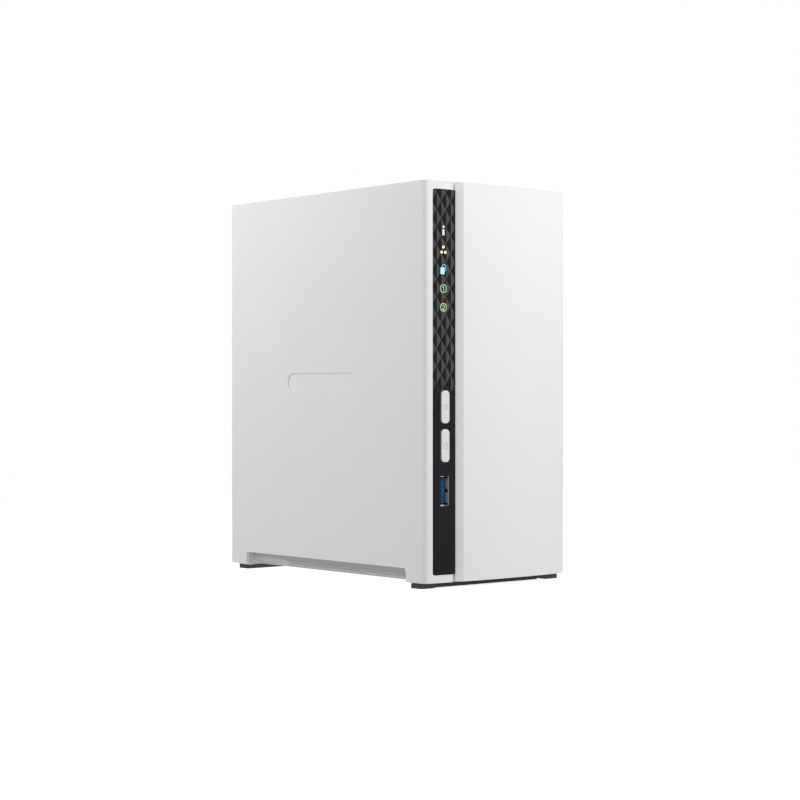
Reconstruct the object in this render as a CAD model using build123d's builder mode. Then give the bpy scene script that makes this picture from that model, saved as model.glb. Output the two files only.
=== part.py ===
from build123d import *
import os
from math import sqrt

# Two-bay desktop network storage box.
# Frame: origin on the resting surface under the middle of the box, +Z up, front towards -Y.
# All sizes are millimetres.

# ---------------------------------------------------------------- casing
WIDTH = 90.18
DEPTH = 158.3
HEIGHT = 188.64
FLOOR_Z = 2.8          # lower edges of the casing
BASE_Z = 2.2           # underside of the base tray, held up by the feet
TRAY_T = 2.0
BOW = 2.8              # how far the middle of the front stands ahead of its corners
WALL = 2.2
CORNER_R = 2.4         # upright corners
EDGE_R = 0.4           # edges round the top
HALF_W = WIDTH / 2
REAR_Y = DEPTH / 2
INNER_X = HALF_W - WALL
TOP_Z = HEIGHT - WALL  # underside of the top
BOW_R = (HALF_W**2 + BOW**2) / (2 * BOW)

# The casing splits along one upright seam: a housing on the left, a sliding cover on the right.
STRIP_RIGHT_X = -28.5  # right edge of the housing's front strip
COVER_LEFT_X = -26.35  # left edge of the cover's front, at the bottom of the groove
COVER_FACE_X = -22.94  # where the cover's slanted edge meets its front face
COVER_TOP_X = -28.1    # left edge of the cover's top
SLANT_DEPTH = 1.75
RETURN_DEPTH = 3.9     # back of the cover's thickened left edge
SUPPORT_DEPTH = 3.6    # back of the strip behind the indicator panel
LIP_NEAR = 4.2         # housing lip that closes the groove
LIP_FAR = 5.4
LIP_X = -24.6
COVER_TRAVEL_GAP = 0.3

# Indicator panel, let into the strip
PANEL_X0 = -40.71
PANEL_Z0 = 6.36
PANEL_Z1 = 184.76
PANEL_NEAR = 0.4
PANEL_FAR = 2.0
PANEL_R = 1.2
GROOVE_STEP = 0.8      # the groove is wider by this above and below the panel
SEAM_FLANGE_X = -26.6  # the panel's flange fills the groove up to here
SEAM_FLANGE_NEAR = 1.55

# Side air intakes: a notch in each side wall with a slanted grille behind it
INTAKE_Y0 = -62.9
INTAKE_Y1 = 64.6
INTAKE_TOP_Z = 9.1
INTAKE_CHAMFER = (1.0, 2.5)
GRILLE_FOOT_X = 33.4   # where the grille meets the floor
GRILLE_BAND = 1.0      # upright band along its foot
GRILLE_TOP_X = 42.6
GRILLE_TOP_Z = 10.2
GRILLE_T = 1.2
TRAY_EDGE_X = 32.0     # edge of the floor beside the grille
RECESS_Y = 68.3        # inner rear corner of the recess in front of the grille
RECESS_R = 3.0
SLOT_PITCH = 1.5
SLOT_LENGTH = 2.7
SLOT_WIDTH = 0.65
SLOT_LEAN = 55
SLOT_ROWS = (-4.1, -1.8)  # along the slope, from its middle
SLOT_Y0 = -60.5
SLOT_Y1 = 41.0

# Feet
FOOT_X0 = 35.6
FOOT_X1 = 44.0
FOOT_Y0 = -72.5
FOOT_Y1 = -65.0
RAIL_END_X = 30.1
RAIL_LIFT = 0.3

# Blank oval name field on the left side
PLATE_Y = 1.9
PLATE_Z = 95.9
PLATE_LENGTH = 54.2
PLATE_HEIGHT = 9.3
PLATE_DEPTH = 0.4

# ---------------------------------------------------------------- front controls
BUTTON_X = -33.34
POWER_Z = 84.05
COPY_Z = 66.13
BUTTON_W = 4.9
BUTTON_H = 15.25
BUTTON_R = 1.9
BUTTON_FACE_Y = -77.62
BUTTON_GAP = 0.15
FLANGE_NEAR_Y = -73.3
FLANGE_FAR_Y = -72.3
FLANGE_W = 6.2
FLANGE_H = 17.2
POST_R = 1.5
STEM_R = 1.6
STEM_TIP_Y = -70.4
STEM_END_Y = -68.2
SWITCH_SIZE = 6.0
SWITCH_FRONT_Y = -69.5

LED_X = -34.46
LED_Z = (165.9, 156.6, 147.5, 139.0, 130.35)
GUIDE_W = 3.4
GUIDE_H = 4.4

USB_X = -33.37
USB_Z = 45.18
USB_W = 14.6           # outside of the metal shell
USB_H = 6.5
USB_SKIN = 0.35
USB_LENGTH = 17.0
USB_FRONT_Y = -76.7    # the front shell's mouth, behind the panel's face
USB_WINDOW = (1.05, 8.5)
USB_WINDOW_HALF = 6.6
SPRING_TIP = 1.45      # free ends of the two contact springs, behind the mouth
SPRING_Z = (0.85, 5.65)
TAB_DEPTH = (0.9, 1.2)
TAB_HEIGHT = 0.5
TONGUE_TIP = 1.7
TONGUE_X = (-0.55, 1.45)
TONGUE_HALF = 5.9

# ---------------------------------------------------------------- boards
BOARD_T = 1.6
MAIN_X0 = -28.6        # component side of the mainboard faces the left wall
MAIN_X1 = MAIN_X0 + BOARD_T
FRONT_BOARD_Y0 = -66.0
FRONT_BOARD_Y1 = FRONT_BOARD_Y0 + BOARD_T
BACKPLANE_Z0 = 20.0
BACKPLANE_Z1 = BACKPLANE_Z0 + BOARD_T

# ---------------------------------------------------------------- drives and cage
DRIVE_L = 147.0
DRIVE_D = 101.6
DRIVE_T = 26.1
DRIVE_Z = 26.0
DRIVE_Y = -5.2
SHEET = 1.0
CAGE_LEFT_X = -22.0    # inner face of the left plate
CAGE_RIGHT_X = 36.2    # inner face of the right plate
CAGE_Y0 = -58.0
CAGE_Y1 = 46.0
CAGE_Z0 = 14.0
CAGE_Z1 = 176.0
HOLE_SPAN_Y = 95.25    # bottom fixing holes of a 3.5 inch drive
HOLE_SPAN_Z = 44.45
HOLE_FIRST_Z = 41.28

# ---------------------------------------------------------------- rear
PANEL_BACK_Y0 = 75.6   # rear panel sheet
PANEL_BACK_Y1 = 76.8
PORT_Y = 77.1          # mouths of the rear sockets
FAN_Z = 136.0
FAN_SIZE = 80.0
FAN_T = 25.0
FAN_BORE_R = 38.2
FAN_HOLE = 71.5
ROTOR_R = 37.4
HUB_R = 16.0
BLADES = 7
JACK_Z = (16.0, 32.0)
REAR_USB_Z = (42.0, 60.0)
REAR_USB_X = -32.85
INLET_Z = (72.0, 81.0)
RESET_X = -31.9
RESET_Z = 87.5
COVER_SCREWS = ((39.6, 50.0), (20.0, 182.2))
PANEL_SCREWS = ((-37.5, 182.3), (-18.0, 9.6), (24.0, 9.6))
BASE_POSTS = ((-15.0, -48.0), (27.0, -48.0), (-15.0, 38.0), (27.0, 38.0))
HOUSING_POSTS = ((-39.5, -67.6), (-39.5, 72.0))


# ---------------------------------------------------------------- shared shapes
def front_y(x, depth=0.0):
    """The bowed front's Y at x, moved back by depth."""
    return -REAR_Y + depth + BOW_R - sqrt(BOW_R**2 - x**2)


def block(x0, x1, y0, y1, z0, z1, mode=Mode.ADD):
    """A box between two corners, in the open part."""
    with Locations(((x0 + x1) / 2, (y0 + y1) / 2, (z0 + z1) / 2)):
        Box(x1 - x0, y1 - y0, z1 - z0, mode=mode)


def bowed_slab(x0, x1, z0, z1, near, far, mode=Mode.ADD):
    """A slab between two copies of the bowed front, in the open part."""
    middle = (x0 + x1) / 2
    with BuildSketch(Plane.XY.offset(z0)) as outline:
        with BuildLine():
            ThreePointArc((x0, front_y(x0, near)), (middle, front_y(middle, near)), (x1, front_y(x1, near)))
            Line((x1, front_y(x1, near)), (x1, front_y(x1, far)))
            ThreePointArc((x1, front_y(x1, far)), (middle, front_y(middle, far)), (x0, front_y(x0, far)))
            Line((x0, front_y(x0, far)), (x0, front_y(x0, near)))
        make_face()
    extrude(outline.sketch, amount=z1 - z0, mode=mode)


def rounded_bar(x, z, width, height, radius, y0, y1, mode=Mode.ADD):
    """An upright rounded bar from y0 back to y1, in the open part."""
    with BuildSketch(Plane.XZ.offset(-y0)) as outline:
        with Locations((x, z)):
            RectangleRounded(width, height, radius)
    extrude(outline.sketch, amount=-(y1 - y0), mode=mode)


def rods(plane, points, radius, length, mode=Mode.ADD):
    """Round rods standing on a plane at several points, in the open part."""
    with BuildSketch(plane) as circles:
        with Locations(*points):
            Circle(radius)
    extrude(circles.sketch, amount=length, mode=mode)


def pan_screws(plane, points, head_r, head_h, shaft_r, shaft_l):
    """Pan-head screws: heads on the plane's normal side, shafts behind it."""
    with BuildPart() as screws:
        rods(plane, points, head_r, head_h)
        fillet(screws.faces().sort_by(Axis(plane.origin, plane.z_dir))[-1].edges(), head_h / 3)
        rods(plane, points, shaft_r, -shaft_l)
        with BuildSketch(plane.offset(head_h)) as recess:
            with Locations(*points):
                Rectangle(head_r * 1.1, head_r * 0.28)
                Rectangle(head_r * 0.28, head_r * 1.1)
        extrude(recess.sketch, amount=-head_h * 0.6, mode=Mode.SUBTRACT)
    return screws


def casing_block(inset, z0, z1, rear, corner_r):
    """The casing's plan, moved in by inset, raised between two heights."""
    half = HALF_W - inset
    corner_y = front_y(half, inset)
    with BuildPart() as casing:
        with BuildSketch(Plane.XY.offset(z0)):
            with BuildLine():
                ThreePointArc((-half, corner_y), (0, front_y(0, inset)), (half, corner_y))
                Polyline((half, corner_y), (half, rear), (-half, rear), (-half, corner_y))
            make_face()
        extrude(amount=z1 - z0)
        fillet(casing.edges().filter_by(Axis.Z), corner_r)
    return casing


def outer_casing():
    """Full outer shape with its top edges rounded."""
    casing = casing_block(0, FLOOR_Z, HEIGHT, REAR_Y, CORNER_R)
    with casing:
        fillet(casing.faces().sort_by(Axis.Z)[-1].edges(), EDGE_R)
    return casing.part


OUTER = outer_casing()
INNER = casing_block(WALL, FLOOR_Z - 1, TOP_Z, REAR_Y + 5, 0.6).part


def panel_slab(gap, right_x, near):
    """The indicator panel's plan with rounded left corners, up to its back face."""
    with BuildPart() as slab:
        bowed_slab(PANEL_X0 + gap, right_x, PANEL_Z0 + gap, PANEL_Z1 - gap, near, PANEL_FAR)
        left_edges = slab.edges().filter_by(Axis.Y, tolerance=15).sort_by(Axis.X)[:2]
        fillet(left_edges, PANEL_R)
    return slab.part


def cut_intake(side):
    """Cuts the air intake's notch through a side wall of the open part."""
    drop_y, drop_z = INTAKE_CHAMFER
    with BuildSketch(Plane.YZ.offset(side * (HALF_W - WALL - 1))) as notch:
        with BuildLine():
            Polyline(
                (INTAKE_Y1, 0),
                (INTAKE_Y1, INTAKE_TOP_Z),
                (INTAKE_Y0 + drop_y, INTAKE_TOP_Z),
                (INTAKE_Y0, INTAKE_TOP_Z - drop_z),
                (INTAKE_Y0, 0),
                close=True,
            )
        make_face()
    extrude(notch.sketch, amount=side * (WALL + 2), mode=Mode.SUBTRACT)


# ---------------------------------------------------------------- main housing
with BuildPart() as main_housing:
    add(OUTER)
    add(INNER, mode=Mode.SUBTRACT)
    block(STRIP_RIGHT_X, WIDTH, -DEPTH, DEPTH, -1, HEIGHT + 1, mode=Mode.SUBTRACT)
    # thick front strip, and the lip that closes the groove beside the cover
    bowed_slab(-INNER_X - 0.5, STRIP_RIGHT_X, FLOOR_Z, TOP_Z + 0.5, 1.0, SUPPORT_DEPTH)
    bowed_slab(STRIP_RIGHT_X - 1.5, STRIP_RIGHT_X, FLOOR_Z, TOP_Z + 0.5, 2.0, LIP_FAR)
    bowed_slab(STRIP_RIGHT_X - 1.5, LIP_X, FLOOR_Z, TOP_Z - 0.3, LIP_NEAR, LIP_FAR)
    # lip under the cover's top
    lip_front_y = front_y(LIP_X, LIP_NEAR) + 0.6
    block(STRIP_RIGHT_X - 1.5, STRIP_RIGHT_X, lip_front_y, 75.0, TOP_Z - 1.8, TOP_Z + 0.5)
    block(STRIP_RIGHT_X - 1.5, LIP_X, lip_front_y, 75.0, TOP_Z - 1.8, TOP_Z - 0.3)
    # rebate for the indicator panel, open towards the groove
    add(panel_slab(0.0, STRIP_RIGHT_X + 1, -1), mode=Mode.SUBTRACT)
    # wider groove above and below the panel
    for step_z0, step_z1 in ((-1, PANEL_Z0), (PANEL_Z1, HEIGHT + 1)):
        bowed_slab(
            STRIP_RIGHT_X - GROOVE_STEP, STRIP_RIGHT_X + 1, step_z0, step_z1, -1, LIP_NEAR, mode=Mode.SUBTRACT
        )
    # windows behind the panel
    for lamp_z in LED_Z:
        rounded_bar(LED_X, lamp_z, GUIDE_W + 0.4, GUIDE_H + 0.4, 0.5, -80, -70, mode=Mode.SUBTRACT)
    for button_z in (POWER_Z, COPY_Z):
        window_w = BUTTON_W + 2 * BUTTON_GAP
        window_h = BUTTON_H + 2 * BUTTON_GAP
        rounded_bar(BUTTON_X, button_z, window_w, window_h, BUTTON_R, -80, -70, mode=Mode.SUBTRACT)
    rounded_bar(USB_X, USB_Z, USB_H + 0.6, USB_W + 0.6, 0.6, -80, -70, mode=Mode.SUBTRACT)
    # posts for the front board
    rods(Plane.XZ.offset(-FRONT_BOARD_Y0), ((-35.0, 98.0), (-35.0, 122.0)), 2.4, 9.0)
    rods(Plane.XZ.offset(-FRONT_BOARD_Y0), ((-35.0, 98.0), (-35.0, 122.0)), 1.15, 6.0, mode=Mode.SUBTRACT)
    # bosses for the base screws and the rear panel screw
    for post_x, post_y in HOUSING_POSTS:
        block(-INNER_X - 0.3, post_x + 3.2, post_y - 3.2, post_y + 3.2, BASE_Z + TRAY_T, CAGE_Z0)
    rods(Plane.XY.offset(BASE_Z + 1.9), HOUSING_POSTS, 1.55, 9.7, mode=Mode.SUBTRACT)
    block(-INNER_X - 0.3, -34.2, 64.0, PANEL_BACK_Y0, 178.5, TOP_Z + 0.3)
    rods(Plane.XZ.offset(-PANEL_BACK_Y0), (PANEL_SCREWS[0],), 1.55, 9.0, mode=Mode.SUBTRACT)
    cut_intake(-1)
    # blank name field
    with BuildSketch(Plane.YZ.offset(-HALF_W)) as field:
        with Locations((PLATE_Y, PLATE_Z)):
            SlotOverall(PLATE_LENGTH, PLATE_HEIGHT)
    extrude(field.sketch, amount=PLATE_DEPTH, mode=Mode.SUBTRACT)

# ---------------------------------------------------------------- sliding cover
with BuildPart() as sliding_cover:
    add(OUTER)
    add(INNER, mode=Mode.SUBTRACT)
    block(-WIDTH, COVER_TOP_X, -DEPTH, DEPTH, -1, HEIGHT + 1, mode=Mode.SUBTRACT)
    bowed_slab(COVER_TOP_X - 1, COVER_LEFT_X, -1, HEIGHT + 1, -2, LIP_NEAR + 0.3, mode=Mode.SUBTRACT)
    # thickened left edge, slanted back into the groove
    bowed_slab(COVER_LEFT_X, -19.0, FLOOR_Z, TOP_Z + 0.5, 1.5, RETURN_DEPTH)
    with BuildSketch(Plane.XY.offset(-1)) as slant:
        face_y = front_y(COVER_FACE_X)
        groove_y = front_y(COVER_LEFT_X, SLANT_DEPTH)
        with BuildLine():
            Polyline(
                (COVER_FACE_X, face_y),
                (COVER_LEFT_X, groove_y),
                (COVER_LEFT_X - 3, groove_y),
                (COVER_LEFT_X - 3, face_y - 2),
                (COVER_FACE_X, face_y - 2),
                close=True,
            )
        make_face()
    extrude(slant.sketch, amount=HEIGHT + 2, mode=Mode.SUBTRACT)
    cut_intake(1)
    # lugs for the two rear screws
    (side_x, side_z), (top_x, top_z) = COVER_SCREWS
    lug_end = PANEL_BACK_Y0 - COVER_TRAVEL_GAP
    block(37.5, INNER_X + 0.5, lug_end - 8, lug_end, side_z - 4, side_z + 4)
    block(top_x - 4, top_x + 4, lug_end - 8, lug_end, 178.4, TOP_Z + 0.5)
    rods(Plane.XZ.offset(-lug_end), COVER_SCREWS, 1.55, 9.0, mode=Mode.SUBTRACT)


# ---------------------------------------------------------------- base
def recess_end(side, clearance=0.0):
    """Plan of the wall that closes the recess at its rear, slanting back towards the grille's foot."""
    corner_y = RECESS_Y - clearance
    outer_y = INTAKE_Y1 - clearance
    run_x = GRILLE_TOP_X - GRILLE_FOOT_X
    run_y = RECESS_Y - INTAKE_Y1
    share = RECESS_R / sqrt(run_x**2 + run_y**2)
    start = (GRILLE_FOOT_X, corner_y - RECESS_R)
    stop = (GRILLE_FOOT_X + share * run_x, corner_y - share * run_y)
    middle = (
        0.45 * GRILLE_FOOT_X + 0.275 * (start[0] + stop[0]),
        0.45 * corner_y + 0.275 * (start[1] + stop[1]),
    )
    back_x = TRAY_EDGE_X - 0.2
    back_y = RECESS_Y + 0.4
    with BuildSketch(Plane.XY.offset(BASE_Z)) as end:
        with BuildLine():
            Polyline(
                (side * start[0], start[1]),
                (side * middle[0], middle[1]),
                (side * stop[0], stop[1]),
                (side * GRILLE_TOP_X, outer_y),
                (side * GRILLE_TOP_X, back_y),
                (side * back_x, back_y),
                (side * back_x, start[1]),
                (side * start[0], start[1]),
            )
        make_face()
    return end.sketch


with BuildPart() as base_tray:
    bowed_slab(-GRILLE_TOP_X, GRILLE_TOP_X, BASE_Z, BASE_Z + TRAY_T, 6.0, 40.0)
    block(-GRILLE_TOP_X, GRILLE_TOP_X, -50, 75.2, BASE_Z, BASE_Z + TRAY_T)
    for side in (-1, 1):
        # notch for the grille, and the recess's two end walls
        x0, x1 = sorted((side * TRAY_EDGE_X, side * (GRILLE_TOP_X + 1)))
        block(x0, x1, INTAKE_Y0, RECESS_Y + 0.4, 0, 20, mode=Mode.SUBTRACT)
        x0, x1 = sorted((side * TRAY_EDGE_X, side * GRILLE_TOP_X))
        block(x0, x1, INTAKE_Y0 - 1.3, INTAKE_Y0, BASE_Z, GRILLE_TOP_Z)
        extrude(recess_end(side), amount=GRILLE_TOP_Z - BASE_Z)
    # posts under the cage and blocks behind the rear panel
    rods(Plane.XY.offset(BASE_Z + 1.0), BASE_POSTS, 3.6, CAGE_Z0 - BASE_Z - 1.0)
    for screw_x, _ in PANEL_SCREWS[1:]:
        block(screw_x - 4, screw_x + 4, 66.0, PANEL_BACK_Y0, BASE_Z + 1.0, CAGE_Z0)
    rods(Plane.XZ.offset(-PANEL_BACK_Y0), PANEL_SCREWS[1:], 1.55, 9.0, mode=Mode.SUBTRACT)
    # countersunk holes for the base screws
    for hole_x, hole_y in BASE_POSTS + HOUSING_POSTS:
        with Locations(Location((hole_x, hole_y, BASE_Z), (180, 0, 0))):
            CounterSinkHole(1.6, 3.05, depth=20)


def intake_grille(side):
    """A slanted strip with two staggered rows of leaning slots and an upright band at its foot."""
    band_z = BASE_Z + GRILLE_BAND
    run_x = GRILLE_TOP_X - GRILLE_FOOT_X
    run_z = GRILLE_TOP_Z - band_z
    slope = sqrt(run_x**2 + run_z**2)
    back_x = GRILLE_TOP_X - GRILLE_T * run_z / slope
    back_z = GRILLE_TOP_Z + GRILLE_T * run_x / slope
    inner_x = GRILLE_FOOT_X - GRILLE_T
    profile = (
        (GRILLE_FOOT_X, BASE_Z),
        (GRILLE_FOOT_X, band_z),
        (GRILLE_TOP_X, GRILLE_TOP_Z),
        (back_x, back_z),
        (inner_x, back_z - (back_x - inner_x) * run_z / run_x),
        (inner_x, BASE_Z),
    )
    normal = (side * run_z / slope, 0, -run_x / slope)
    middle = (side * (GRILLE_TOP_X + GRILLE_FOOT_X) / 2, 0, (GRILLE_TOP_Z + band_z) / 2)
    face = Plane(origin=middle, x_dir=(0, 1, 0), z_dir=normal)
    length = RECESS_Y - INTAKE_Y0 - 0.1
    centre_y = (SLOT_Y0 + SLOT_Y1) / 2
    count = int((SLOT_Y1 - SLOT_Y0) / SLOT_PITCH)
    with BuildPart() as grille:
        with BuildSketch(Plane.XZ.offset(-(INTAKE_Y0 + 0.1))) as section:
            with BuildLine():
                Polyline([(side * x, z) for x, z in profile], close=True)
            make_face()
        extrude(section.sketch, amount=-length)
        with BuildSketch(face) as slots:
            for row, offset in enumerate(SLOT_ROWS):
                with Locations((centre_y + row * SLOT_PITCH / 2, side * offset)):
                    with GridLocations(SLOT_PITCH, 1, count, 1):
                        SlotOverall(SLOT_LENGTH, SLOT_WIDTH, rotation=-SLOT_LEAN * side)
        extrude(slots.sketch, amount=-GRILLE_T - 0.5, mode=Mode.SUBTRACT)
        # room for the wall at the recess's rear
        extrude(recess_end(side, 0.05), amount=30, mode=Mode.SUBTRACT)
    return grille


intake_grille_left = intake_grille(-1)
intake_grille_right = intake_grille(1)

with BuildPart() as base_screws:
    rods(Plane.XY.offset(BASE_Z), BASE_POSTS + HOUSING_POSTS, 1.5, CAGE_Z0 + SHEET - BASE_Z - 1.5)
    for screw_x, screw_y in BASE_POSTS + HOUSING_POSTS:
        with Locations((screw_x, screw_y, BASE_Z + 0.7)):
            Cone(2.9, 1.5, 1.4)
        with Locations((screw_x, screw_y, BASE_Z + 0.4)):
            Box(3.2, 0.8, 0.8, mode=Mode.SUBTRACT)
            Box(0.8, 3.2, 0.8, mode=Mode.SUBTRACT)

# feet: rubber blocks at the front corners with a rail between them, and a rubber bar at the rear
with BuildPart() as front_feet:
    block(-FOOT_X1, -FOOT_X0, FOOT_Y0, FOOT_Y1, 0, BASE_Z)
    block(FOOT_X0, FOOT_X1, FOOT_Y0, FOOT_Y1, 0, BASE_Z)
    upright = front_feet.edges().filter_by(Axis.Z).group_by(Axis.X)
    fillet(upright[0] + upright[-1], 0.5)

with BuildPart() as front_foot_rail:
    block(-FOOT_X0, RAIL_END_X, FOOT_Y0, FOOT_Y1, RAIL_LIFT, BASE_Z)

with BuildPart() as rear_foot_bar:
    block(-42.0, 42.0, 67.8, 75.4, 0, BASE_Z)
    fillet(rear_foot_bar.edges().filter_by(Axis.Z), 0.4)

# ---------------------------------------------------------------- indicator panel and lamps
with BuildPart() as indicator_panel:
    add(panel_slab(0.05, STRIP_RIGHT_X, PANEL_NEAR))
    # flange that closes the groove beside the cover
    bowed_slab(
        STRIP_RIGHT_X - 0.5, SEAM_FLANGE_X, PANEL_Z0 + 0.05, PANEL_Z1 - 0.05, SEAM_FLANGE_NEAR, PANEL_FAR
    )
    for button_z in (POWER_Z, COPY_Z):
        hole_w = BUTTON_W + 2 * BUTTON_GAP
        hole_h = BUTTON_H + 2 * BUTTON_GAP
        rounded_bar(BUTTON_X, button_z, hole_w, hole_h, BUTTON_R, -80, -70, mode=Mode.SUBTRACT)
    # socket opening, with a pocket behind it for the shell's mouth
    rounded_bar(USB_X, USB_Z, USB_H - 2 * USB_SKIN, USB_W - 2 * USB_SKIN, 0.4, -80, -70, mode=Mode.SUBTRACT)
    rounded_bar(USB_X, USB_Z, USB_H + 0.2, USB_W + 0.2, 0.6, USB_FRONT_Y - 0.05, -70, mode=Mode.SUBTRACT)

with BuildPart() as light_guide:
    for lamp_z in LED_Z:
        rounded_bar(LED_X, lamp_z, GUIDE_W, GUIDE_H, 0.4, -75.2, -68.0)
    block(LED_X - 2.7, LED_X + 2.7, -73.2, -72.2, LED_Z[-1] - 3, LED_Z[0] + 3)

with BuildPart() as status_lamps:
    for lamp_z in LED_Z:
        block(LED_X - 0.8, LED_X + 0.8, -66.9, FRONT_BOARD_Y0, lamp_z - 0.8, lamp_z + 0.8)

with BuildPart() as front_board:
    block(-42.2, -30.2, FRONT_BOARD_Y0, FRONT_BOARD_Y1, 55.0, 172.0)
    rods(Plane.XZ.offset(-FRONT_BOARD_Y1), ((-35.0, 98.0), (-35.0, 122.0)), 1.3, 5.0, mode=Mode.SUBTRACT)

FRONT_BOARD_BACK = Plane(origin=(0, FRONT_BOARD_Y1, 0), x_dir=(-1, 0, 0), z_dir=(0, 1, 0))
panel_side_screws = pan_screws(FRONT_BOARD_BACK, ((35.0, 98.0), (35.0, 122.0)), 2.2, 1.4, 1.1, 6.0)


# ---------------------------------------------------------------- buttons and their switches
def press_button(button_z):
    """Button cap with its retaining flange and the post that works the switch."""
    with BuildPart() as button:
        rounded_bar(BUTTON_X, button_z, BUTTON_W, BUTTON_H, BUTTON_R, BUTTON_FACE_Y, FLANGE_NEAR_Y)
        fillet(button.faces().sort_by(Axis.Y)[0].edges(), 0.35)
        rounded_bar(BUTTON_X, button_z, FLANGE_W, FLANGE_H, 1.0, FLANGE_NEAR_Y, FLANGE_FAR_Y)
        rods(Plane.XZ.offset(-STEM_TIP_Y), ((BUTTON_X, button_z),), POST_R, STEM_TIP_Y - FLANGE_FAR_Y)
    return button


def switch_stem(stem_z):
    """The switch's own plunger, pushed by the button's post."""
    with BuildPart() as stem:
        rods(Plane.XZ.offset(-STEM_END_Y), ((BUTTON_X, stem_z),), STEM_R, STEM_END_Y - STEM_TIP_Y)
        chamfer(stem.faces().sort_by(Axis.Y)[0].edges(), 0.2)
    return stem


power_button = press_button(POWER_Z)
copy_button = press_button(COPY_Z)
power_switch_stem = switch_stem(POWER_Z)
copy_switch_stem = switch_stem(COPY_Z)

with BuildPart() as push_switches:
    half = SWITCH_SIZE / 2
    for switch_z in (POWER_Z, COPY_Z):
        switch_y = (SWITCH_FRONT_Y, FRONT_BOARD_Y0)
        block(BUTTON_X - half, BUTTON_X + half, *switch_y, switch_z - half, switch_z + half)
        mouth = Plane.XZ.offset(-SWITCH_FRONT_Y)
        rods(mouth, ((BUTTON_X, switch_z),), STEM_R + 0.08, -2.6, mode=Mode.SUBTRACT)


# ---------------------------------------------------------------- sockets
def behind(mouth_y, inward, near, far):
    """The Y range between two depths behind a socket's mouth."""
    return sorted((mouth_y + inward * near, mouth_y + inward * far))


def usb_shell(x, z, mouth_y, inward):
    """A folded metal shell, open at the mouth, with two contact springs in its right wall."""
    inside_h = USB_H - 2 * USB_SKIN
    inside_w = USB_W - 2 * USB_SKIN
    wall_in = x + inside_h / 2
    wall_out = x + USB_H / 2
    with BuildPart() as shell:
        rounded_bar(x, z, USB_H, USB_W, 0.6, *behind(mouth_y, inward, 0, USB_LENGTH))
        hollow = behind(mouth_y, inward, -1, USB_LENGTH - USB_SKIN)
        rounded_bar(x, z, inside_h, inside_w, 0.3, *hollow, mode=Mode.SUBTRACT)
        window = behind(mouth_y, inward, *USB_WINDOW)
        window_z = (z - USB_WINDOW_HALF, z + USB_WINDOW_HALF)
        block(wall_in - 0.1, wall_out + 0.1, *window, *window_z, mode=Mode.SUBTRACT)
        spring = behind(mouth_y, inward, SPRING_TIP, USB_WINDOW[1] + 0.2)
        spring_z0, spring_z1 = SPRING_Z
        tab = behind(mouth_y, inward, *TAB_DEPTH)
        for side in (-1, 1):
            z0, z1 = sorted((z + side * spring_z0, z + side * spring_z1))
            block(wall_in, wall_out, *spring, z0, z1)
            # short tab folded in beside the tongue
            z0, z1 = sorted((z + side * (inside_w / 2 - TAB_HEIGHT), z + side * (inside_w / 2 + 0.1)))
            block(x - 1.5, x + 0.5, *tab, z0, z1)
    return shell


def usb_core(x, z, mouth_y, inward):
    """Insulator with its contact tongue, standing off from the board."""
    half_h = USB_H / 2 - USB_SKIN - 0.05
    half_w = USB_W / 2 - USB_SKIN - 0.05
    body = behind(mouth_y, inward, 12.5, USB_LENGTH - USB_SKIN - 0.05)
    tongue = behind(mouth_y, inward, TONGUE_TIP, 13.0)
    with BuildPart() as core:
        block(x - half_h, x + half_h, *body, z - half_w, z + half_w)
        # riser between the shell and the board
        block(x + USB_H / 2, MAIN_X0, *body, z - 6.5, z + 6.5)
        block(x + TONGUE_X[0], x + TONGUE_X[1], *tongue, z - TONGUE_HALF, z + TONGUE_HALF)
    return core


front_usb_shell = usb_shell(USB_X, USB_Z, USB_FRONT_Y, 1)
front_usb_core = usb_core(USB_X, USB_Z, USB_FRONT_Y, 1)

rear_usb_shell_lower = usb_shell(REAR_USB_X, REAR_USB_Z[0], PORT_Y, -1)
rear_usb_shell_upper = usb_shell(REAR_USB_X, REAR_USB_Z[1], PORT_Y, -1)

lower_core = usb_core(REAR_USB_X, REAR_USB_Z[0], PORT_Y, -1)
upper_core = usb_core(REAR_USB_X, REAR_USB_Z[1], PORT_Y, -1)
with BuildPart() as rear_usb_cores:
    add(lower_core.part)
    add(upper_core.part)

with BuildPart() as ethernet_jack:
    jack_z = sum(JACK_Z) / 2
    block(-42.0, MAIN_X0, PORT_Y - 16.5, PORT_Y, *JACK_Z)
    block(-40.6, -32.4, PORT_Y - 13.5, PORT_Y + 1, jack_z - 5.95, jack_z + 5.95, mode=Mode.SUBTRACT)
    block(-32.5, -30.6, PORT_Y - 13.5, PORT_Y + 1, jack_z - 3.0, jack_z + 3.0, mode=Mode.SUBTRACT)

with BuildPart() as ethernet_contacts:
    for contact in range(8):
        contact_z = jack_z + (contact - 3.5) * 1.02
        block(-40.6, -39.9, PORT_Y - 13.0, PORT_Y - 4.0, contact_z - 0.2, contact_z + 0.2)

with BuildPart() as power_inlet:
    inlet_x = (-39.6 + MAIN_X0) / 2
    inlet_z = sum(INLET_Z) / 2
    block(-39.6, MAIN_X0, PORT_Y - 14, PORT_Y, *INLET_Z)
    fillet(power_inlet.faces().sort_by(Axis.Y)[-1].edges(), 0.4)
    rods(Plane.XZ.offset(-PORT_Y), ((inlet_x, inlet_z),), 3.15, 10.0, mode=Mode.SUBTRACT)
    # contact pin, ending behind the mouth
    rods(Plane.XZ.offset(-(PORT_Y - 1.2)), ((inlet_x, inlet_z),), 1.0, 9.0)

with BuildPart() as reset_switch:
    block(-34.4, MAIN_X0, 68.6, 73.0, RESET_Z - 2.6, RESET_Z + 2.6)
    rods(Plane.XZ.offset(-73.0), ((RESET_X, RESET_Z),), 1.28, 2.2, mode=Mode.SUBTRACT)

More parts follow.
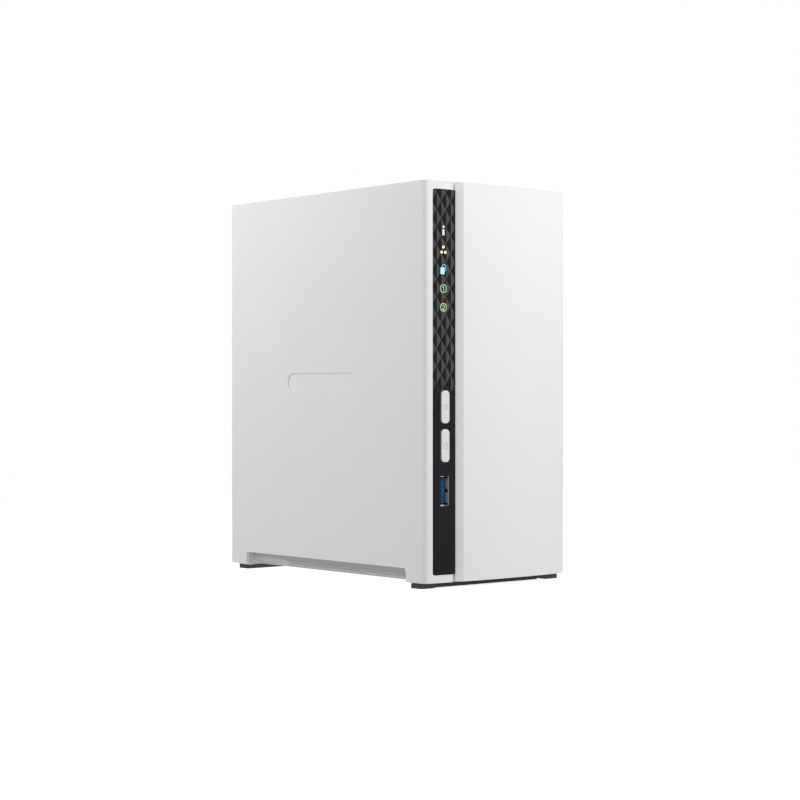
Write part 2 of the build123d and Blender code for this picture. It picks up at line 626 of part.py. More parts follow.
with BuildPart() as reset_button:
    rods(Plane.XZ.offset(-75.2), ((RESET_X, RESET_Z),), 1.2, 3.6)
    chamfer(reset_button.faces().sort_by(Axis.Y)[-1].edges(), 0.2)

# ---------------------------------------------------------------- mainboard
STANDOFFS = ((-50.0, 30.0), (36.0, 30.0), (-42.0, 116.0), (34.0, 116.0))
with BuildPart() as mainboard:
    with BuildSketch(Plane.YZ.offset(MAIN_X0)) as board_plan:
        with BuildLine():
            Polyline(
                (-70, 17), (-70, 121), (48, 121), (48, 92), (75, 92), (75, 15), (-50, 15), (-50, 17),
                close=True,
            )
        make_face()
    extrude(board_plan.sketch, amount=BOARD_T)
    rods(Plane.YZ.offset(MAIN_X0), STANDOFFS, 1.6, BOARD_T, mode=Mode.SUBTRACT)

BOARD_FACE = Plane(origin=(MAIN_X0, 0, 0), x_dir=(0, -1, 0), z_dir=(-1, 0, 0))
main_side_screws = pan_screws(BOARD_FACE, [(-y, z) for y, z in STANDOFFS], 2.8, 1.9, 1.5, 4.2)

with BuildPart() as processor:
    block(MAIN_X0 - 1.6, MAIN_X0, -10, 12, 70, 92)

with BuildPart() as heatsink:
    block(MAIN_X0 - 3.6, MAIN_X0 - 1.6, -19, 21, 61, 101)
    for fin in range(11):
        fin_y = -18.4 + fin * 3.88
        block(MAIN_X0 - 12.6, MAIN_X0 - 3.6, fin_y - 0.6, fin_y + 0.6, 61, 101)

with BuildPart() as memory_chips:
    for chip_z in (66, 84):
        block(MAIN_X0 - 1.1, MAIN_X0, -34, -23, chip_z, chip_z + 13)
    block(MAIN_X0 - 1.0, MAIN_X0, -12, 0, 42, 55)

with BuildPart() as capacitors:
    rods(Plane.YZ.offset(MAIN_X0), ((52, 72), (52, 81), (42, 88)), 3.2, -9.0)
    fillet(capacitors.faces().sort_by(Axis.X)[0].edges(), 0.5)

with BuildPart() as inductors:
    for coil_z in (30, 42, 54):
        block(MAIN_X0 - 4.2, MAIN_X0, 22, 29.5, coil_z, coil_z + 7.5)

with BuildPart() as board_header:
    block(-34.0, MAIN_X0, FRONT_BOARD_Y1, FRONT_BOARD_Y1 + 4.6, 60, 72)

# ---------------------------------------------------------------- backplane
PLANE_POSTS = ((-17.0, -52.5), (31.0, -52.5), (-17.0, 41.0), (31.0, 41.0))
with BuildPart() as backplane:
    block(-21.4, 35.8, -56.5, 45.0, BACKPLANE_Z0, BACKPLANE_Z1)
    rods(Plane.XY.offset(BACKPLANE_Z0), PLANE_POSTS, 1.6, BOARD_T, mode=Mode.SUBTRACT)

with BuildPart() as board_standoffs:
    with BuildSketch(Plane.YZ.offset(MAIN_X1)) as side_posts:
        with Locations(*STANDOFFS):
            RegularPolygon(2.9, 6)
    extrude(side_posts.sketch, amount=CAGE_LEFT_X - SHEET - MAIN_X1)
    rods(Plane.YZ.offset(MAIN_X1), STANDOFFS, 1.55, 3.0, mode=Mode.SUBTRACT)
    with BuildSketch(Plane.XY.offset(CAGE_Z0 + SHEET)) as upright_posts:
        with Locations(*PLANE_POSTS):
            RegularPolygon(2.9, 6)
    extrude(upright_posts.sketch, amount=BACKPLANE_Z0 - CAGE_Z0 - SHEET)
    rods(Plane.XY.offset(BACKPLANE_Z0), PLANE_POSTS, 1.55, -3.5, mode=Mode.SUBTRACT)

backplane_side_screws = pan_screws(Plane.XY.offset(BACKPLANE_Z1), PLANE_POSTS, 2.6, 1.6, 1.5, 4.4)
with BuildPart() as board_screws:
    add(panel_side_screws.part)
    add(main_side_screws.part)
    add(backplane_side_screws.part)

with BuildPart() as board_link:
    block(MAIN_X1, -19.6, -20, 20, BACKPLANE_Z1, BACKPLANE_Z1 + 4.0)

# drive sockets: x and y limits of the plug on each drive
PLUGS = ((-19.2, -14.0, -47.0, -5.0), (28.2, 33.4, -5.4, 36.6))
with BuildPart() as drive_sockets:
    for plug_x0, plug_x1, plug_y0, plug_y1 in PLUGS:
        block(plug_x0, plug_x1, plug_y0, plug_y1, BACKPLANE_Z1, 30.0)
        block(
            plug_x0 + 1.6, plug_x1 - 1.6, plug_y0 + 2, plug_y1 - 2, 27.0, 30.5, mode=Mode.SUBTRACT
        )

# ---------------------------------------------------------------- cage
FIX_POINTS = [
    (DRIVE_Y + sign * HOLE_SPAN_Y / 2, DRIVE_Z + HOLE_FIRST_Z + row * HOLE_SPAN_Z)
    for sign in (-1, 1)
    for row in (0, 1)
]


def cage_plate(x0):
    """A side plate with vent slots and holes for the drive screws."""
    with BuildPart() as plate:
        block(x0, x0 + SHEET, CAGE_Y0, CAGE_Y1, CAGE_Z0 + SHEET, CAGE_Z1)
        fillet(plate.edges().filter_by(Axis.X).group_by(Axis.Z)[-1], 4.0)
        rods(Plane.YZ.offset(x0), FIX_POINTS, 1.8, SHEET, mode=Mode.SUBTRACT)
        with BuildSketch(Plane.YZ.offset(x0)) as vents:
            with Locations((DRIVE_Y, 92.0)):
                with GridLocations(14.0, 46.0, 6, 3):
                    SlotOverall(34.0, 6.0, rotation=90)
        extrude(vents.sketch, amount=SHEET, mode=Mode.SUBTRACT)
    return plate


cage_left_plate = cage_plate(CAGE_LEFT_X - SHEET)
with cage_left_plate:
    block(-24, -21, -21, 21, 15.5, 27.0, mode=Mode.SUBTRACT)
    rods(Plane.YZ.offset(-24), STANDOFFS, 1.5, 3.0, mode=Mode.SUBTRACT)
cage_right_plate = cage_plate(CAGE_RIGHT_X)

with BuildPart() as cage_floor:
    block(CAGE_LEFT_X - SHEET, CAGE_RIGHT_X + SHEET, CAGE_Y0, CAGE_Y1, CAGE_Z0, CAGE_Z0 + SHEET)
    rods(Plane.XY.offset(CAGE_Z0), BASE_POSTS, 1.55, SHEET, mode=Mode.SUBTRACT)
    with BuildSketch(Plane.XY.offset(CAGE_Z0)) as floor_vents:
        with Locations((7.0, -5.0)):
            with GridLocations(10.0, 30.0, 3, 3):
                SlotOverall(24.0, 4.0, rotation=90)
    extrude(floor_vents.sketch, amount=SHEET, mode=Mode.SUBTRACT)

with BuildPart() as cage_top_bar:
    block(CAGE_LEFT_X - SHEET, CAGE_RIGHT_X + SHEET, -30, 18, CAGE_Z1, CAGE_Z1 + 1.2)
    with BuildSketch(Plane.XY.offset(CAGE_Z1)) as bar_vents:
        with Locations((7.1, -6.0)):
            with GridLocations(10.0, 1, 5, 1):
                SlotOverall(36.0, 5.0, rotation=90)
    extrude(bar_vents.sketch, amount=1.2, mode=Mode.SUBTRACT)


# ---------------------------------------------------------------- drives
def drive_casting(bottom_x, away, plug):
    """Drive body: solid casting with its board pocket, plug notch and fixing holes."""
    far_x = bottom_x + away * (DRIVE_T - 1.5)
    x0, x1 = sorted((bottom_x, far_x))
    pocket_x0, pocket_x1 = sorted((bottom_x, bottom_x + away * 2.0))
    y0, y1 = DRIVE_Y - DRIVE_D / 2, DRIVE_Y + DRIVE_D / 2
    plug_x0, plug_x1, plug_y0, plug_y1 = plug
    with BuildPart() as casting:
        block(x0, x1, y0, y1, DRIVE_Z, DRIVE_Z + DRIVE_L)
        fillet(casting.edges().filter_by(Axis.X), 2.5)
        block(pocket_x0, pocket_x1, DRIVE_Y - 40, DRIVE_Y + 40, 33, 100, mode=Mode.SUBTRACT)
        block(plug_x0 - 0.6, plug_x1 + 0.6, plug_y0 - 0.8, plug_y1 + 0.8, 20, 31, mode=Mode.SUBTRACT)
        rods(Plane.YZ.offset(bottom_x), FIX_POINTS, 1.75, away * 5.0, mode=Mode.SUBTRACT)
    return casting


def drive_board(bottom_x, away):
    """Circuit board in the pocket on the drive's underside."""
    x0, x1 = sorted((bottom_x + away * 0.8, bottom_x + away * 2.0))
    with BuildPart() as board:
        block(x0, x1, DRIVE_Y - 39.5, DRIVE_Y + 39.5, 33.5, 99.5)
        fillet(board.edges().filter_by(Axis.X), 2.0)
    return board


def drive_lid(bottom_x, away):
    """Steel lid with a raised round field over the platters."""
    x0, x1 = sorted((bottom_x + away * (DRIVE_T - 1.5), bottom_x + away * (DRIVE_T - 0.5)))
    with BuildPart() as lid:
        block(x0, x1, DRIVE_Y - 49.4, DRIVE_Y + 49.4, DRIVE_Z + 1.5, DRIVE_Z + DRIVE_L - 1.5)
        fillet(lid.edges().filter_by(Axis.X), 4.0)
        field_plane = Plane.YZ.offset(bottom_x + away * (DRIVE_T - 0.5))
        rods(field_plane, ((DRIVE_Y, DRIVE_Z + 92.0),), 45.0, away * 0.5)
    return lid


drive_1_casting = drive_casting(CAGE_LEFT_X, 1, PLUGS[0])
drive_1_board = drive_board(CAGE_LEFT_X, 1)
drive_1_lid = drive_lid(CAGE_LEFT_X, 1)
drive_2_casting = drive_casting(CAGE_RIGHT_X, -1, PLUGS[1])
drive_2_board = drive_board(CAGE_RIGHT_X, -1)
drive_2_lid = drive_lid(CAGE_RIGHT_X, -1)

LEFT_OUT = Plane(origin=(CAGE_LEFT_X - SHEET, 0, 0), x_dir=(0, -1, 0), z_dir=(-1, 0, 0))
RIGHT_OUT = Plane.YZ.offset(CAGE_RIGHT_X + SHEET)
left_screws = pan_screws(LEFT_OUT, [(-y, z) for y, z in FIX_POINTS], 3.0, 1.9, 1.7, 5.0)
right_screws = pan_screws(RIGHT_OUT, FIX_POINTS, 3.0, 1.9, 1.7, 5.0)
with BuildPart() as drive_screws:
    add(left_screws.part)
    add(right_screws.part)

# ---------------------------------------------------------------- fan
FAN_Y1 = PANEL_BACK_Y0
FAN_Y0 = FAN_Y1 - FAN_T
CORNERS = [(sx * FAN_HOLE / 2, FAN_Z + sz * FAN_HOLE / 2) for sx in (-1, 1) for sz in (-1, 1)]
with BuildPart() as fan_frame:
    rounded_bar(0, FAN_Z, FAN_SIZE, FAN_SIZE, 5.0, FAN_Y0, FAN_Y0 + 4)
    rounded_bar(0, FAN_Z, FAN_SIZE, FAN_SIZE, 5.0, FAN_Y1 - 4, FAN_Y1)
    rods(Plane.XZ.offset(-FAN_Y1), ((0, FAN_Z),), FAN_SIZE / 2, FAN_T)
    rods(Plane.XZ.offset(-FAN_Y1), ((0, FAN_Z),), FAN_BORE_R, FAN_T, mode=Mode.SUBTRACT)
    # motor base on four struts
    rods(Plane.XZ.offset(-FAN_Y1), ((0, FAN_Z),), HUB_R, 3.0)
    with BuildSketch(Plane.XZ.offset(-FAN_Y1)) as struts:
        with Locations((0, FAN_Z)):
            with PolarLocations(26.5, 4, 45):
                Rectangle(25.0, 3.4)
    extrude(struts.sketch, amount=3.0)
    rods(Plane.XZ.offset(-FAN_Y1 + 3.0), ((0, FAN_Z),), 1.55, -2.4, mode=Mode.SUBTRACT)
    rods(Plane.XZ.offset(-FAN_Y1), CORNERS, 2.05, FAN_T, mode=Mode.SUBTRACT)

with BuildPart() as fan_rotor:
    hub_y0 = FAN_Y0 + 1.4
    hub_y1 = FAN_Y1 - 3.4
    rods(Plane.XZ.offset(-hub_y1), ((0, FAN_Z),), HUB_R, hub_y1 - hub_y0)
    fillet(fan_rotor.faces().sort_by(Axis.Y)[0].edges(), 1.5)
    for blade in range(BLADES):
        hub_middle = Location((0, (hub_y0 + hub_y1) / 2, FAN_Z), (0, 360 / BLADES * blade, 0))
        with BuildSketch(Plane(hub_middle).offset(HUB_R - 1.5)) as blade_root:
            Rectangle(1.8, 17.0, rotation=-48)
        with BuildSketch(Plane(hub_middle).offset(ROTOR_R + 1)) as blade_tip:
            Rectangle(1.2, 22.0, rotation=-62)
        loft(Sketch() + [blade_root.sketch, blade_tip.sketch])
    rods(Plane.XZ.offset(-hub_y1), ((0, FAN_Z),), ROTOR_R, hub_y1 - hub_y0, mode=Mode.INTERSECT)
    # shaft in the motor base
    rods(Plane.XZ.offset(-(hub_y1 + 2.6)), ((0, FAN_Z),), 1.5, 3.0)

REAR_OUT = Plane(origin=(0, PANEL_BACK_Y1, 0), x_dir=(-1, 0, 0), z_dir=(0, 1, 0))
fan_screws = pan_screws(REAR_OUT, [(-x, z) for x, z in CORNERS], 3.4, 1.9, 2.0, 12.0)
cover_screws = pan_screws(REAR_OUT, [(-x, z) for x, z in COVER_SCREWS], 2.8, 2.0, 1.5, 8.0)
rear_panel_screws = pan_screws(REAR_OUT, [(-x, z) for x, z in PANEL_SCREWS], 2.8, 1.8, 1.5, 8.0)

# ---------------------------------------------------------------- rear panel
with BuildPart() as rear_panel:
    block(-GRILLE_TOP_X, GRILLE_TOP_X, PANEL_BACK_Y0, PANEL_BACK_Y1, 3.0, 186.0)
    fillet(rear_panel.edges().filter_by(Axis.Y).group_by(Axis.Z)[-1], 1.5)
    # ring slots in front of the fan
    with BuildSketch(Plane.XZ.offset(-PANEL_BACK_Y1)) as guard:
        with Locations((0, FAN_Z)):
            for ring in reversed(range(5)):
                inner_r = 13.4 + ring * 5.0
                Circle(inner_r + 3.4)
                Circle(inner_r, mode=Mode.SUBTRACT)
            with PolarLocations(25.0, 6, 30):
                Rectangle(32.0, 2.2, mode=Mode.SUBTRACT)
    extrude(guard.sketch, amount=2.0, mode=Mode.SUBTRACT)
    # vents in the lower right
    with BuildSketch(Plane.XZ.offset(-PANEL_BACK_Y1)) as lower_vents:
        with Locations((6.0, 52.0)):
            with GridLocations(6.0, 22.0, 8, 3):
                SlotOverall(17.0, 2.6, rotation=90)
    extrude(lower_vents.sketch, amount=2.0, mode=Mode.SUBTRACT)
    # socket cut-outs
    rear_cut = {"y0": PANEL_BACK_Y0 - 1, "y1": PANEL_BACK_Y1 + 1, "mode": Mode.SUBTRACT}
    block(x0=-42.2, x1=MAIN_X0 + 0.2, z0=JACK_Z[0] - 0.2, z1=JACK_Z[1] + 0.2, **rear_cut)
    block(x0=-39.8, x1=MAIN_X0 + 0.2, z0=INLET_Z[0] - 0.2, z1=INLET_Z[1] + 0.2, **rear_cut)
    for port_z in REAR_USB_Z:
        usb_half = USB_H / 2 + 0.2
        block(
            x0=REAR_USB_X - usb_half, x1=REAR_USB_X + usb_half,
            z0=port_z - USB_W / 2 - 0.2, z1=port_z + USB_W / 2 + 0.2, **rear_cut
        )
    rods(Plane.XZ.offset(-PANEL_BACK_Y1), ((RESET_X, RESET_Z),), 1.0, 2.0, mode=Mode.SUBTRACT)
    rods(Plane.XZ.offset(-PANEL_BACK_Y1), COVER_SCREWS + PANEL_SCREWS, 1.6, 2.0, mode=Mode.SUBTRACT)
    rods(Plane.XZ.offset(-PANEL_BACK_Y1), CORNERS, 2.1, 2.0, mode=Mode.SUBTRACT)
    # slot for a cable lock
    rounded_bar(36.4, 24.0, 3.0, 7.0, 0.6, PANEL_BACK_Y0 - 1, PANEL_BACK_Y1 + 1, mode=Mode.SUBTRACT)

# ---------------------------------------------------------------- write every piece
PIECES = {
    "main_housing": main_housing,
    "sliding_cover": sliding_cover,
    "base_tray": base_tray,
    "intake_grille_left": intake_grille_left,
    "intake_grille_right": intake_grille_right,
    "base_screws": base_screws,
    "front_feet": front_feet,
    "front_foot_rail": front_foot_rail,
    "rear_foot_bar": rear_foot_bar,
    "indicator_panel": indicator_panel,
    "light_guide": light_guide,
    "status_lamps": status_lamps,
    "front_board": front_board,
    "power_button": power_button,
    "copy_button": copy_button,
    "power_switch_stem": power_switch_stem,
    "copy_switch_stem": copy_switch_stem,
    "push_switches": push_switches,
    "front_usb_shell": front_usb_shell,
    "front_usb_core": front_usb_core,
    "rear_usb_shell_lower": rear_usb_shell_lower,
    "rear_usb_shell_upper": rear_usb_shell_upper,
    "rear_usb_cores": rear_usb_cores,
    "ethernet_jack": ethernet_jack,
    "ethernet_contacts": ethernet_contacts,
    "power_inlet": power_inlet,
    "reset_switch": reset_switch,
    "reset_button": reset_button,
    "mainboard": mainboard,
    "board_standoffs": board_standoffs,
    "board_screws": board_screws,
    "processor": processor,
    "heatsink": heatsink,
    "memory_chips": memory_chips,
    "capacitors": capacitors,
    "inductors": inductors,
    "board_header": board_header,
    "backplane": backplane,
    "board_link": board_link,
    "drive_sockets": drive_sockets,
    "cage_left_plate": cage_left_plate,
    "cage_right_plate": cage_right_plate,
    "cage_floor": cage_floor,
    "cage_top_bar": cage_top_bar,
    "drive_1_casting": drive_1_casting,
    "drive_1_board": drive_1_board,
    "drive_1_lid": drive_1_lid,
    "drive_2_casting": drive_2_casting,
    "drive_2_board": drive_2_board,
    "drive_2_lid": drive_2_lid,
    "drive_screws": drive_screws,
    "fan_frame": fan_frame,
    "fan_rotor": fan_rotor,
    "fan_screws": fan_screws,
    "rear_panel": rear_panel,
    "rear_panel_screws": rear_panel_screws,
    "cover_screws": cover_screws,
}
os.makedirs("parts", exist_ok=True)
for name, piece in PIECES.items():
    piece.part.label = name
    export_step(piece.part, f"parts/{name}.step")
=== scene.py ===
from math import cos, floor, pi, radians, sin, sqrt

import bmesh
import bpy
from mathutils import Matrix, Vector


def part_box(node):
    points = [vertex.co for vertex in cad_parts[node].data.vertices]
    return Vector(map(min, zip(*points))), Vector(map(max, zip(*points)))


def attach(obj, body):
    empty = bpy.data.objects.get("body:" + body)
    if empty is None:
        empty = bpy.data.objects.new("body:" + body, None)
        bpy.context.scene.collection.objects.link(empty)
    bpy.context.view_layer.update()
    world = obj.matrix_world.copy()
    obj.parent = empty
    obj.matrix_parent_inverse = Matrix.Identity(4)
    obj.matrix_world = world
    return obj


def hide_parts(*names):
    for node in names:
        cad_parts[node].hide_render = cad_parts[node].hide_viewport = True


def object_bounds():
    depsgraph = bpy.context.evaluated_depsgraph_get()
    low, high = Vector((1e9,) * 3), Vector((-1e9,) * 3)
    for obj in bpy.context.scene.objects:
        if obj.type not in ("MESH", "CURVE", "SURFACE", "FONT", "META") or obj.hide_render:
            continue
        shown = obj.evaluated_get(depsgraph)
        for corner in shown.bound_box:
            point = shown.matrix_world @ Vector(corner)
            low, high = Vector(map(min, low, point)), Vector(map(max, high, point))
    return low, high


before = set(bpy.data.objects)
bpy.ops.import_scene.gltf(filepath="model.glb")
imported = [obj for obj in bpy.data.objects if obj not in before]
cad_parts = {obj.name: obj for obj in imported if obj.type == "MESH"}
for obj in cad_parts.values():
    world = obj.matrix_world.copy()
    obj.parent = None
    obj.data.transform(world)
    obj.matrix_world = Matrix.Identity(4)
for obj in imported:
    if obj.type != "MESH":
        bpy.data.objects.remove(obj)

MM = 0.001
scene = bpy.context.scene
cad_low, cad_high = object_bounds()

# ---------------------------------------------------------------- sizes, in metres
HALF_WIDTH = cad_high.x
FRONT_Y = cad_low.y
BOW = 2.8 * MM                      # the middle of the front stands this far ahead of its corners
BOW_RADIUS = (HALF_WIDTH**2 + BOW**2) / (2 * BOW)

# faceted relief of the indicator panel: pyramids on a grid of half-diamonds
PANEL_DEPTH = 0.4 * MM              # the panel's face lies this far behind the casing's
FACET_W = 2.68 * MM
FACET_H = 4.025 * MM
FACET_RISE = 0.3 * MM
RELIEF_X = -40.97 * MM
RELIEF_Z = 179.3 * MM
RELIEF_FULL_Z = 100.0 * MM          # the relief fades out between these two heights
RELIEF_END_Z = 84.5 * MM
FACE_RIGHT_X = -28.5 * MM           # right edge of the face; a flange goes on behind the groove
PANEL_CORNER = 1.2 * MM
PANEL_BACK = 2.0 * MM
FLANGE_DEPTH = 1.55 * MM
BUTTON_SIZE = (4.9 * MM, 15.25 * MM, 1.9 * MM)
BUTTON_GAP = 0.15 * MM
SHELL_SKIN = 0.35 * MM
USB_CORNER = 0.4 * MM
POCKET_GAP = 0.1 * MM               # round the USB shell, behind the face
POCKET_CORNER = 0.6 * MM
CUT_FRONT_Y = FRONT_Y - 1 * MM      # the cutters' two ends, clear of the panel
CUT_BACK_Y = FRONT_Y + 8 * MM
TONGUE_LEFT = -0.55 * MM            # the tongue's contact side, from the middle of the socket

# lit icons, as centres on the panel
ICON_X = -34.59 * MM
STATUS_Z = 165.9 * MM
NETWORK_Z = 156.45 * MM
STORAGE_Z = 147.6 * MM
BAY_1_Z = 138.77 * MM
BAY_2_Z = 130.08 * MM
ICON_LIFT = 0.03 * MM
ICON_STEP = 0.2 * MM
ICON_THICKNESS = 0.06 * MM
FRAME_LINE = 0.38 * MM              # the bays' frames and digits
SHEET_LINE = 0.45 * MM              # the sheet behind in the storage icon

# marks printed on the buttons
MARK_PROUD = 0.018 * MM             # in front of the button's face
MARK_THICKNESS = 0.05 * MM
MARK_LINE = 0.26 * MM
RING_RADIUS = 1.25 * MM
RING_GAP = 0.2 * pi                 # half of the ring's opening, at the top
RING_STEPS = 24

# in the USB sockets: how many contacts, their pitch, start and stop behind the mouth, half width
USB_PADS = (4, 2.5 * MM, 2.1 * MM, 7.0 * MM, 0.5 * MM)
USB_SPRINGS = (5, 2.0 * MM, 8.0 * MM, 12.3 * MM, 0.3 * MM)
CONTACT_PROUD = 0.06 * MM
CONTACT_SUNK = 0.05 * MM
CONTACT_BEVEL = 0.03 * MM
# strips along a socket: near and far side in X, start and stop behind the mouth, half height
# the step is real, drawn in a darker blue that is painted shade
USB_STEP = (1.4 * MM, 2.15 * MM, 1.9 * MM, 8.0 * MM, 5.6 * MM)      # X from the socket's middle
# the sheet is black as a painted shadow seen through the spring windows
USB_SHADE_SHEET = (0.02 * MM, 0.2 * MM, 1.3 * MM, 9.0 * MM, 7.0 * MM)      # X from the shell's side
STRIP_BEVEL = 0.05 * MM

# the camera's place in metres, and the floor's radius
CAMERA_PLACE = (-0.61735, -0.74170, 0.08727)
CAMERA_TURN = -39.957               # degrees about Z
CAMERA_LENS = 86.04                 # millimetres, on a sensor 36 mm wide
FLOOR_RADIUS = 0.75


def front_y(x, depth=0.0):
    """The bowed front's Y at x, moved back by depth."""
    return FRONT_Y + depth + BOW_RADIUS - sqrt(BOW_RADIUS**2 - x**2)


def node_centre(node):
    """Middle of a node's box in X and Z."""
    low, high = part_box(node)
    return (low.x + high.x) / 2, (low.z + high.z) / 2


# ---------------------------------------------------------------- mesh helpers
def finish_piece(name, bm, material, body):
    """Turns a bmesh into a piece that rides on a body."""
    bmesh.ops.recalc_face_normals(bm, faces=bm.faces)
    mesh = bpy.data.meshes.new(name)
    bm.to_mesh(mesh)
    bm.free()
    mesh.materials.append(material)
    piece = bpy.data.objects.new(name, mesh)
    scene.collection.objects.link(piece)
    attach(piece, body)
    return piece


def grid_faces(bm, rows, closed=False):
    """Quads between rows of vertices."""
    for near, far in zip(rows, rows[1:]):
        count = len(near)
        for k in range(count if closed else count - 1):
            after = (k + 1) % count
            bm.faces.new((near[k], near[after], far[after], far[k]))


def plate(bm, rows, surface, thickness, closed=False):
    """A thin solid that follows a surface: rows hold (x, z) points, surface gives y at (x, z)."""
    tops, backs = [
        [[bm.verts.new((x, surface(x, z) - ICON_LIFT + depth, z)) for x, z in row] for row in rows]
        for depth in (0.0, thickness)
    ]
    grid_faces(bm, tops, closed)
    grid_faces(bm, backs, closed)
    grid_faces(bm, [tops[0], backs[0]], closed)
    grid_faces(bm, [tops[-1], backs[-1]], closed)
    if not closed:
        for side in (0, -1):
            grid_faces(bm, [[row[side] for row in tops], [row[side] for row in backs]])


def resample(points, step, closed):
    """Evenly spaced points along a polyline."""
    path = points + points[:1] if closed else points
    result = []
    for (x0, z0), (x1, z1) in zip(path, path[1:]):
        count = max(1, round(sqrt((x1 - x0) ** 2 + (z1 - z0) ** 2) / step))
        result += [(x0 + (x1 - x0) * k / count, z0 + (z1 - z0) * k / count) for k in range(count)]
    return result if closed else result + [path[-1]]


def stroke(points, width, closed=False):
    """Rows of a ribbon of one width along a line of (x, z) points, for plate()."""
    points = resample(points, ICON_STEP, closed)
    count = len(points)
    left, right = [], []
    for k, (x, z) in enumerate(points):
        before = points[k - 1] if closed or k else points[0]
        after = points[(k + 1) % count] if closed or k < count - 1 else points[-1]
        along = Vector((after[0] - before[0], after[1] - before[1])).normalized()
        side_x, side_z = -along.y * width / 2, along.x * width / 2
        left.append((x + side_x, z + side_z))
        right.append((x - side_x, z - side_z))
    return [left, right]


def rounded_outline(x, z, width, height, radius, turns=6):
    """Points of a rounded rectangle, counter-clockwise."""
    points = []
    for corner, (sx, sz) in enumerate(((1, 1), (-1, 1), (-1, -1), (1, -1))):
        cx = x + sx * (width / 2 - radius)
        cz = z + sz * (height / 2 - radius)
        for k in range(turns + 1):
            angle = (corner + k / turns) * pi / 2
            points.append((cx + radius * cos(angle), cz + radius * sin(angle)))
    return points


def solid_shape(outline, x, z, rings=4):
    """Rows that fill an outline from its centre outwards, for plate()."""
    rows = []
    for k in range(rings + 1):
        share = max(0.02, k / rings)
        rows.append([(x + (px - x) * share, z + (pz - z) * share) for px, pz in outline])
    return rows


def box_mesh(bm, low, high, bevel=0.0):
    """A box with its edges broken."""
    corners = bmesh.ops.create_cube(bm, size=1.0)["verts"]
    for vert in corners:
        for axis in range(3):
            vert.co[axis] = low[axis] if vert.co[axis] < 0 else high[axis]
    if bevel:
        edges = list({edge for vert in corners for edge in vert.link_edges})
        bmesh.ops.bevel(bm, geom=edges, offset=bevel, segments=2, affect="EDGES")


# ---------------------------------------------------------------- material helpers
class Finish:
    """A procedural material on the principled shader, textured in the object's own metres."""

    def __init__(self, name, colour, metallic=0.0, roughness=0.5, **sockets):
        self.material = bpy.data.materials.get(name) or bpy.data.materials.new(name)
        self.material.use_nodes = True
        self.tree = self.material.node_tree
        self.tree.nodes.clear()
        output = self.node("OutputMaterial")
        self.shader = self.node("BsdfPrincipled")
        self.place = self.node("TexCoord").outputs["Object"]
        self.link(self.shader.outputs["BSDF"], output.inputs["Surface"])
        self.shader.inputs["Base Color"].default_value = (*colour, 1)
        self.shader.inputs["Metallic"].default_value = metallic
        self.shader.inputs["Roughness"].default_value = roughness
        for socket, value in sockets.items():
            self.shader.inputs[socket.replace("_", " ")].default_value = value

    def node(self, kind, **settings):
        """A new shader node."""
        made = self.tree.nodes.new("ShaderNode" + kind)
        for key, value in settings.items():
            setattr(made, key, value)
        return made

    def link(self, source, target):
        self.tree.links.new(source, target)

    def scaled(self, size):
        """Coordinates in which one unit is size metres: a number, or one per axis."""
        sizes = size if isinstance(size, tuple) else (size, size, size)
        mapping = self.node("Mapping")
        mapping.inputs["Scale"].default_value = tuple(1 / value for value in sizes)
        self.link(self.place, mapping.inputs["Vector"])
        return mapping.outputs["Vector"]

    def noise(self, size, detail=3.0, rough=0.55):
        """Noise with lumps of about one size."""
        texture = self.node("TexNoise")
        texture.inputs["Scale"].default_value = 1.0
        texture.inputs["Detail"].default_value = detail
        texture.inputs["Roughness"].default_value = rough
        self.link(self.scaled(size), texture.inputs["Vector"])
        return texture.outputs["Fac"]

    def cells(self, size, feature="F1", metric="EUCLIDEAN", output="Color"):
        """A pattern of cells of about one size."""
        texture = self.node("TexVoronoi", feature=feature, distance=metric)
        texture.inputs["Scale"].default_value = 1.0
        self.link(self.scaled(size), texture.inputs["Vector"])
        return texture.outputs[output]

    def ramp(self, factor, stops):
        """Colours at two or more positions along a factor, in rising order."""
        ramp = self.node("ValToRGB")
        elements = ramp.color_ramp.elements
        for element, (position, colour) in ((elements[0], stops[0]), (elements[-1], stops[-1])):
            element.position = position
            element.color = (*colour, 1)
        for position, colour in stops[1:-1]:
            elements.new(position).color = (*colour, 1)
        self.link(factor, ramp.inputs["Fac"])
        return ramp.outputs["Color"]

    def mix(self, blend, first, second):
        """Two colours blended in full, by the numbers of the node's factor and colour sockets."""
        mixed = self.node("Mix", data_type="RGBA", blend_type=blend)
        mixed.inputs[0].default_value = 1.0
        self.link(first, mixed.inputs[6])
        self.link(second, mixed.inputs[7])
        return mixed.outputs[2]

    def colour(self, factor, dark, light, low=0.35, high=0.65):
        """Base colour from dark to light as the factor goes from low to high."""
        self.link(self.ramp(factor, ((low, dark), (high, light))), self.shader.inputs["Base Color"])

    def roughness(self, factor, low, high):
        """Roughness from low to high over the middle of the factor's range."""
        spread = self.node("MapRange")
        spread.inputs["From Min"].default_value = 0.3
        spread.inputs["From Max"].default_value = 0.7
        spread.inputs["To Min"].default_value = low
        spread.inputs["To Max"].default_value = high
        self.link(factor, spread.inputs["Value"])
        self.link(spread.outputs["Result"], self.shader.inputs["Roughness"])

    def bump(self, factor, height, strength=1.0):
        """Surface relief that is height deep."""
        bump = self.node("Bump")
        bump.inputs["Distance"].default_value = height
        bump.inputs["Strength"].default_value = strength
        self.link(factor, bump.inputs["Height"])
        self.link(bump.outputs["Normal"], self.shader.inputs["Normal"])


def shades(colour, spread):
    """A colour made a little darker and a little lighter."""
    return [tuple(channel * (1 + sign * spread) for channel in colour) for sign in (-1, 1)]


